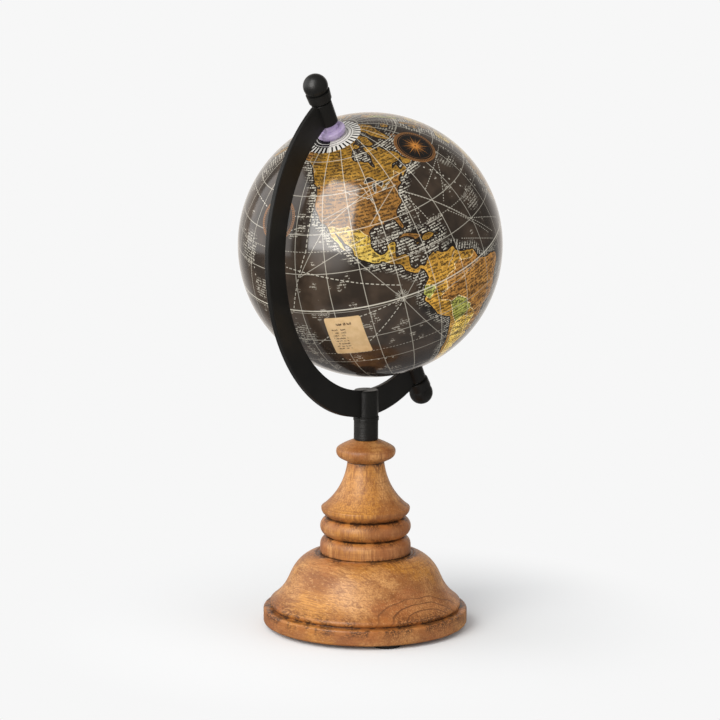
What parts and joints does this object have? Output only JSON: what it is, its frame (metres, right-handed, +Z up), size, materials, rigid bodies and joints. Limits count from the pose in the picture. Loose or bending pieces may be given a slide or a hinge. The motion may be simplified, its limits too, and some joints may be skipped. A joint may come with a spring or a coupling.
{
  "type": "desktop globe on stand",
  "caption": "Tilted globe with an antique-style map, turning on an axle in a flat meridian arc above a turned wooden pedestal.",
  "frame": {"origin": "on the stand's axis at table level, at the middle of the centre pad's underside", "axes": "+Z up along the stand's axis; the meridian arc lies in the XZ plane on the -X side, and the axle's north end leans towards -X"},
  "size_m": [0.1466, 0.127, 0.2708],
  "materials": {
    "wood": "satin turned hardwood",
    "black_metal": "satin black powder coat",
    "steel": "plain zinc-plated steel",
    "pad_rubber": "matte",
    "bush_plastic": "glossy translucent lilac",
    "map_print": "printed map under gloss lacquer",
    "inner_plastic": "unfinished"
  },
  "bodies": {
    "stand": {"base_plinth": "wood", "column": "wood", "foot_pad_1": "pad_rubber", "foot_pad_2": "pad_rubber", "foot_pad_3": "pad_rubber", "centre_pad": "pad_rubber", "post": "black_metal", "tie_rod": "steel", "tie_washer": "steel", "tie_nut": "steel", "meridian_arc": "black_metal", "axle": "steel", "upper_sleeve": "black_metal", "lower_sleeve": "black_metal", "upper_washer": "steel", "lower_washer": "steel", "upper_cup": "black_metal", "lower_cup": "black_metal", "upper_ball_nut": "black_metal", "lower_ball_nut": "black_metal"},
    "globe": {"north_shell": "map_print", "south_shell": "map_print", "seam_ring": "inner_plastic", "upper_bush": "bush_plastic", "lower_bush": "bush_plastic"}
  },
  "joints": [
    {"name": "globe_spin", "type": "hinge", "parent": "stand", "child": "globe", "pos_m": [0.0028, 0, 0.18665], "axis": [-0.5, 0, 0.866], "continuous": true}
  ]
}
